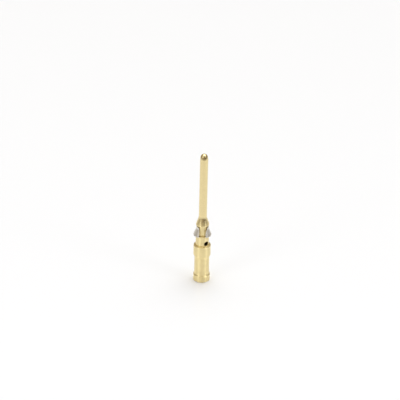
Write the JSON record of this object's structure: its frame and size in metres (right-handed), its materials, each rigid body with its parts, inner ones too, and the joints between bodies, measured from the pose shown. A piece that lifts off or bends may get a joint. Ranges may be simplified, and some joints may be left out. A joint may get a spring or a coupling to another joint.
{
  "type": "heavy-duty crimp contact",
  "caption": "Turned gold-plated pin contact with a crimp barrel, flange and inspection hole, and a loose split spring clip in a groove that locks it in a connector insert.",
  "frame": {"origin": "centre of the crimp barrel's mouth face, on which the contact stands", "axes": "+Z along the contact's axis from the mouth to the pin's tip, -Y towards the gap of the clip"},
  "size_m": [0.0036, 0.0035, 0.0281],
  "materials": {
    "gold_plate": "gold plated over turned copper alloy, satin turning marks",
    "spring_steel": "bare rolled stainless spring sheet"
  },
  "bodies": {
    "contact": {"contact_body": "gold_plate"},
    "clip": {"retention_clip": "spring_steel"}
  },
  "joints": [
    {"name": "clip_turn", "type": "hinge", "parent": "contact", "child": "clip", "pos_m": [0, 0, 0.0112], "axis": [0, 0, 1], "continuous": true}
  ]
}
